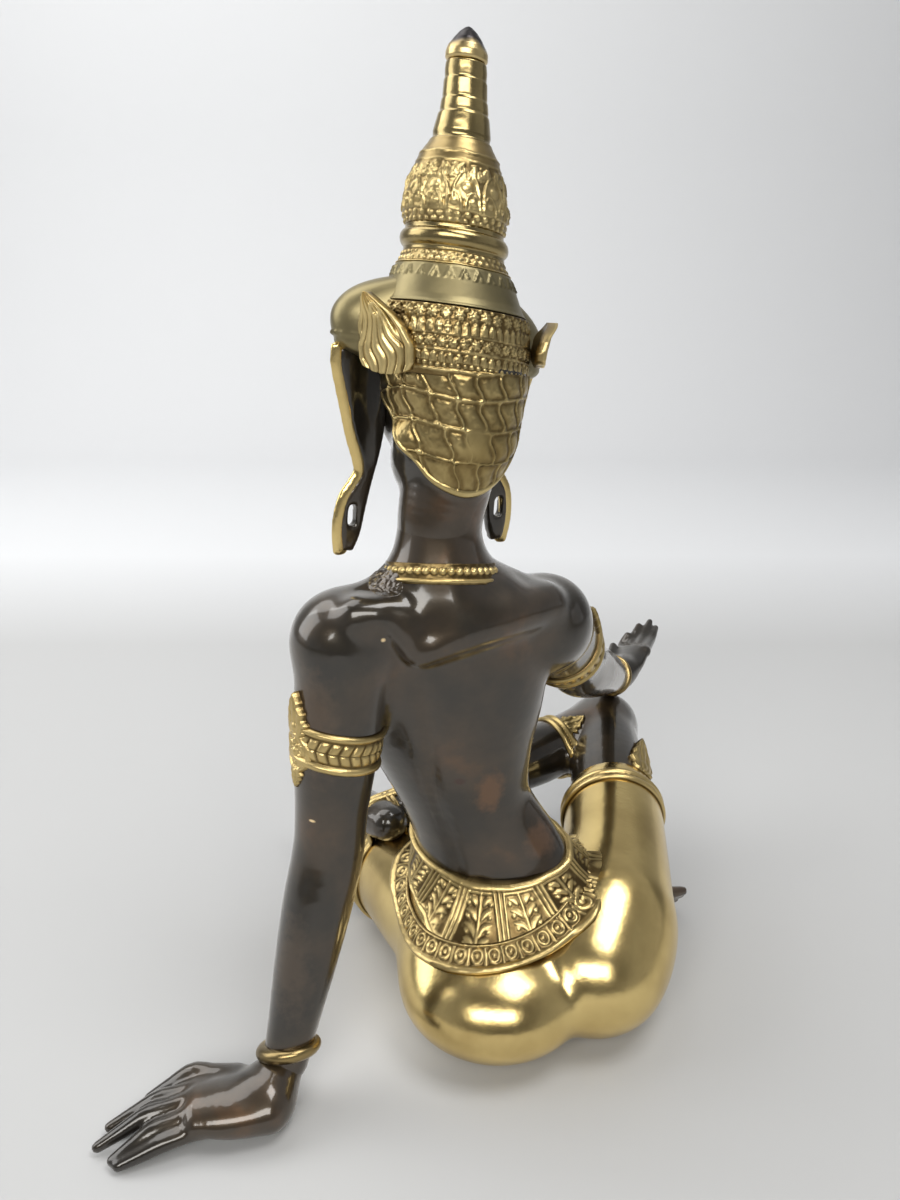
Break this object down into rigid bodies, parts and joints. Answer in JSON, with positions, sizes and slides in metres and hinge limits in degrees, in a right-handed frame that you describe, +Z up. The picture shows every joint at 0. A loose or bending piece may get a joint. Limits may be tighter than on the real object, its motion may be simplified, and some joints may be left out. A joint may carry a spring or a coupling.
{
  "type": "bronze dancer figure",
  "caption": "Seated dancer figure with a tall tiered crown, one hand on the floor behind and one on the raised knee, cast in dark bronze with polished brass trousers and ornaments.",
  "frame": {"origin": "middle of the footprint's box, on the floor under the seat", "axes": "+Z up, the figure's front towards -Y, its left side towards +X"},
  "size_m": [0.2603, 0.2939, 0.4],
  "materials": {
    "dark_bronze": "semi-gloss dark brown-black patina with warm and blue-grey reflections",
    "polished_brass": "polished gold-coloured brass, darker in the recesses"
  },
  "bodies": {
    "root": {"dancer_figure": "dark_bronze"}
  },
  "joints": []
}
